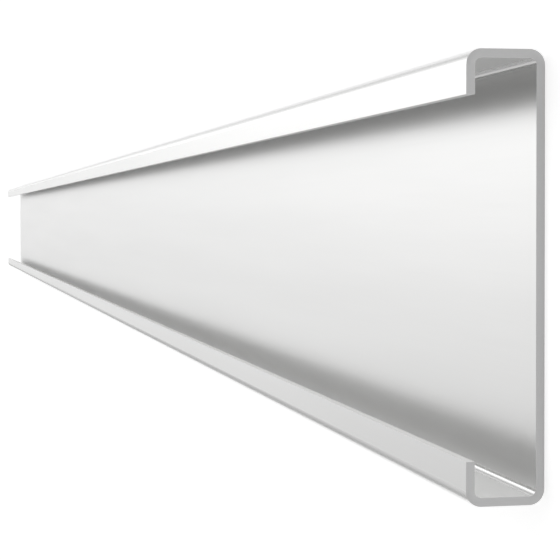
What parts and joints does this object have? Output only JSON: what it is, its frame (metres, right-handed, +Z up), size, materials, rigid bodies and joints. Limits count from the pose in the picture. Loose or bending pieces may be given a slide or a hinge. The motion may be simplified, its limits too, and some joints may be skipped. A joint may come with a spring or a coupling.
{
  "type": "stainless steel plinth",
  "caption": "Shallow folded channel of satin stainless sheet: a broad web as the visible plinth face, two narrow flanges and short inward lips, open along one side, ends cut square",
  "frame": {"origin": "middle of the web's outer face, which is the plinth's visible face and the face it lies on", "axes": "+X along the length, +Y across the height that the plinth has when fitted, +Z up out of the open side"},
  "size_m": [2, 0.1, 0.018],
  "materials": {
    "satin_stainless": "satin stainless steel with a very fine grain along the length, and matte cut ends"
  },
  "bodies": {
    "root": {"plinth_channel": "satin_stainless"}
  },
  "joints": []
}
